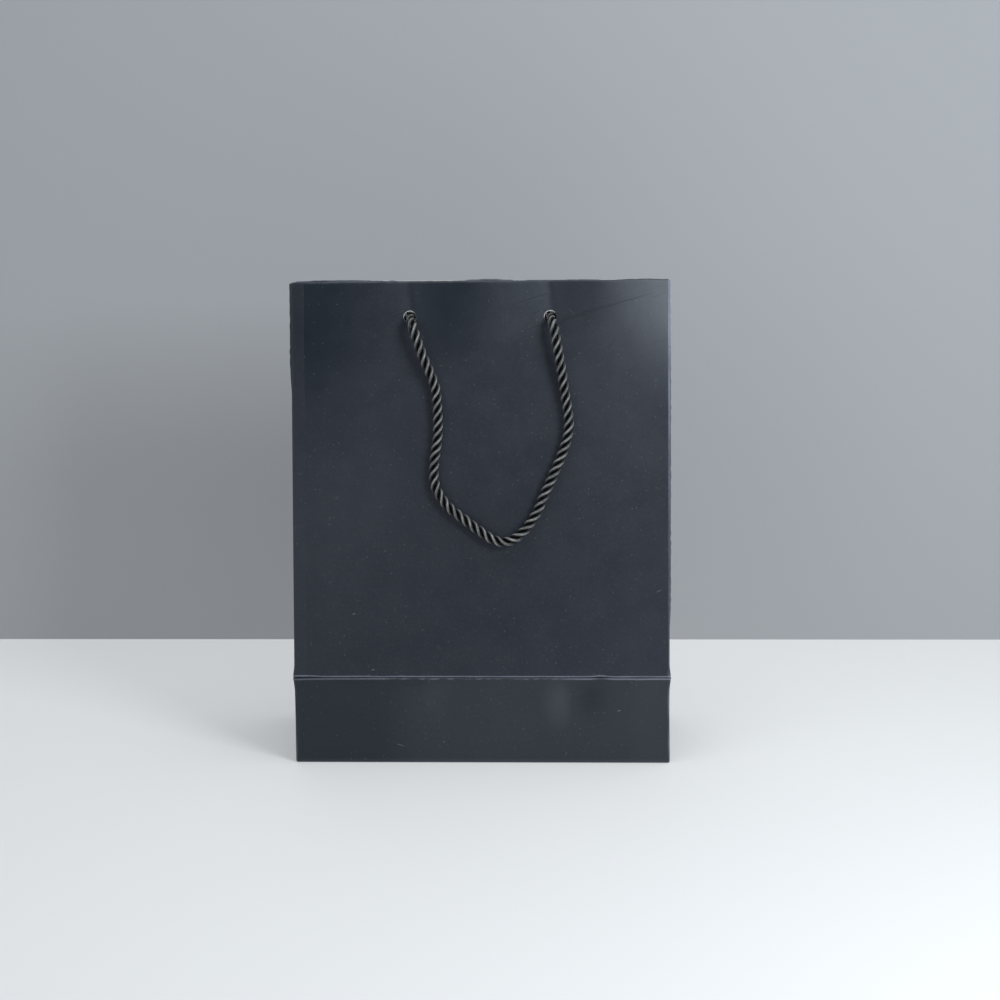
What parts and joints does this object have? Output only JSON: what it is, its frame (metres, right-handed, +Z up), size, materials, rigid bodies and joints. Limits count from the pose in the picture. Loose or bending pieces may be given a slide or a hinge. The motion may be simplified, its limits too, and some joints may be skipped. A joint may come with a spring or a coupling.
{
  "type": "paper carrier gift bag",
  "caption": "Dark coated paper carrier bag with a folded block base, inward gussets, a turned-in hem and knotted twisted rope handles.",
  "frame": {"origin": "middle of the base, on the surface the bag stands on", "axes": "+Z up to the mouth, +X across the front to the viewer's right, +Y towards the back; the front faces -Y"},
  "size_m": [0.19, 0.08, 0.2426],
  "materials": {
    "paper": "satin laminated, near-black slate",
    "rope": "silky twisted synthetic cord, black",
    "hem_card": "plain grey card",
    "base_board": "matte lined board, dark"
  },
  "bodies": {
    "base": {"front_lower_panel": "paper", "back_lower_panel": "paper", "left_lower_gusset": "paper", "right_lower_gusset": "paper", "lower_seam_flap": "paper", "front_bottom_flap": "paper", "back_bottom_flap": "paper", "left_bottom_flap": "paper", "right_bottom_flap": "paper"},
    "front_wall": {"front_upper_panel": "paper", "front_hem": "paper", "front_hem_card": "hem_card", "front_left_knot": "rope", "front_right_knot": "rope"},
    "back_wall": {"back_upper_panel": "paper", "back_hem": "paper", "back_hem_card": "hem_card", "back_left_knot": "rope", "back_right_knot": "rope"},
    "front_handle": {"front_handle_rope": "rope"},
    "back_handle": {"back_handle_rope": "rope"},
    "left_gusset": {"left_gusset_centre": "paper"},
    "right_gusset": {"right_gusset_centre": "paper"},
    "left_front_fold": {"left_gusset_front_flank": "paper"},
    "right_front_fold": {"right_gusset_front_flank": "paper"},
    "left_back_fold": {"left_gusset_back_flank": "paper"},
    "right_back_fold": {"right_gusset_back_flank": "paper"},
    "board": {"base_board": "base_board"}
  },
  "joints": [
    {"name": "mouth_open", "type": "hinge", "parent": "base", "child": "front_wall", "pos_m": [0, -0.03977, 0.045], "axis": [1, 0, 0], "range_deg": [0, 5.26]},
    {"name": "back_wall_lean", "type": "hinge", "parent": "base", "child": "back_wall", "pos_m": [0, 0.03977, 0.045], "axis": [1, 0, 0], "range_deg": [-5.27, 0]},
    {"name": "left_gusset_tilt", "type": "hinge", "parent": "base", "child": "left_gusset", "pos_m": [-0.09477, 0, 0.045], "axis": [0, -1, 0], "range_deg": [0, 2.72]},
    {"name": "right_gusset_tilt", "type": "hinge", "parent": "base", "child": "right_gusset", "pos_m": [0.09477, 0, 0.045], "axis": [0, 1, 0], "range_deg": [0, 2.72]},
    {"name": "left_front_unfold", "type": "hinge", "parent": "front_wall", "child": "left_front_fold", "pos_m": [-0.09477, -0.03889, 0.04486], "axis": [0, 0.1551, 0.9879], "range_deg": [0, 32.02]},
    {"name": "right_front_unfold", "type": "hinge", "parent": "front_wall", "child": "right_front_fold", "pos_m": [0.09477, -0.03889, 0.04486], "axis": [0, -0.1551, -0.9879], "range_deg": [0, 32.02]},
    {"name": "front_handle_swing", "type": "hinge", "parent": "front_wall", "child": "front_handle", "pos_m": [0, -0.01619, 0.22553], "axis": [-1, 0, 0], "range_deg": [0, 170]},
    {"name": "left_back_unfold", "type": "hinge", "parent": "back_wall", "child": "left_back_fold", "pos_m": [-0.09477, 0.03889, 0.04486], "axis": [0, 0.1551, -0.9879], "range_deg": [0, 32.02]},
    {"name": "right_back_unfold", "type": "hinge", "parent": "back_wall", "child": "right_back_fold", "pos_m": [0.09477, 0.03889, 0.04486], "axis": [0, -0.1551, 0.9879], "range_deg": [0, 32.02]},
    {"name": "back_handle_swing", "type": "hinge", "parent": "back_wall", "child": "back_handle", "pos_m": [0, 0.01619, 0.22553], "axis": [1, 0, 0], "range_deg": [0, 170]},
    {"name": "board_lift", "type": "slide", "parent": "base", "child": "board", "axis": [0, 0, 1], "range_m": [0, 0.04]}
  ],
  "couplings": [
    {"joint": "back_wall_lean", "follows": "mouth_open", "ratio": -1},
    {"joint": "left_gusset_tilt", "follows": "mouth_open", "ratio": 0.5132},
    {"joint": "right_gusset_tilt", "follows": "mouth_open", "ratio": 0.5132},
    {"joint": "left_front_unfold", "follows": "mouth_open", "ratio": 6.0788},
    {"joint": "right_front_unfold", "follows": "mouth_open", "ratio": 6.0788},
    {"joint": "left_back_unfold", "follows": "mouth_open", "ratio": 6.0788},
    {"joint": "right_back_unfold", "follows": "mouth_open", "ratio": 6.0788}
  ]
}
